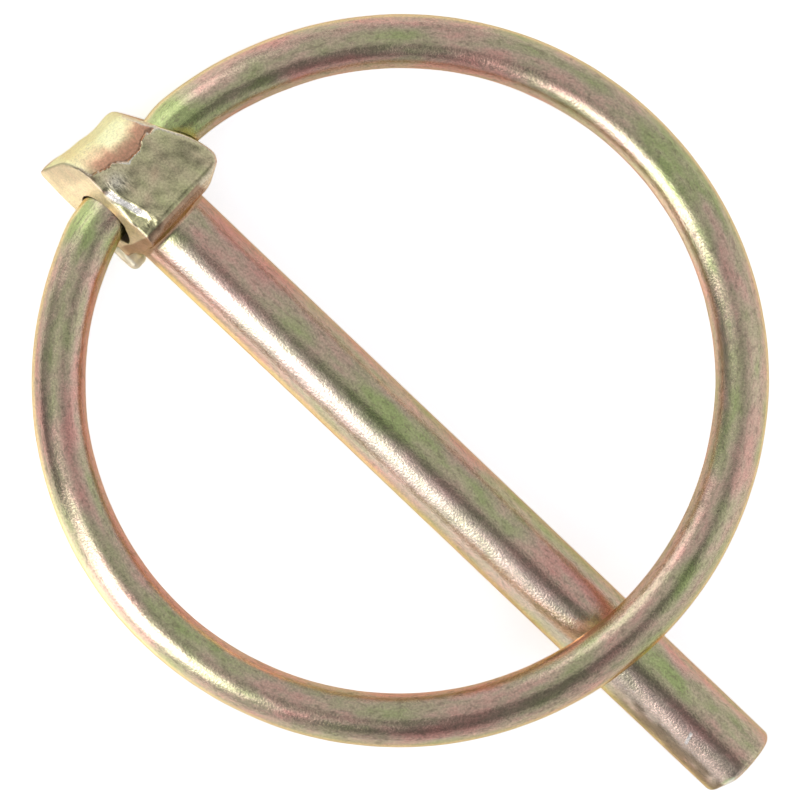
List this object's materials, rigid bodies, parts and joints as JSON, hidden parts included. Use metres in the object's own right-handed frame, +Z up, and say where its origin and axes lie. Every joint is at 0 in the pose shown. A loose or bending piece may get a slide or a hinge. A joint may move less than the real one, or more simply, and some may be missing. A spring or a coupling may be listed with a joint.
{
  "type": "lynch pin",
  "caption": "Lynch pin: round shank with a forged cross-drilled head and a snap ring of spring wire that swings over and closes across the shank.",
  "frame": {"origin": "on the shank's axis, in the plane of the head's underside", "axes": "+X along the shank from the head to the tip, +Z up out of the surface it lies on, towards the side on which the ring is closed"},
  "size_m": [0.0711, 0.0564, 0.0119],
  "materials": {
    "pin_plating": "yellow iridescent zinc plating on forged steel, worn at the head's edges",
    "ring_plating": "yellow iridescent zinc plating on drawn spring wire"
  },
  "bodies": {
    "pin_body": {"pin": "pin_plating"},
    "ring_body": {"ring": "ring_plating"}
  },
  "joints": [
    {"name": "ring_hinge", "type": "hinge", "parent": "pin_body", "child": "ring_body", "pos_m": [-0.00425, 0.0005, 0], "axis": [0.108, -0.9942, 0], "range_deg": [0, 348]}
  ]
}
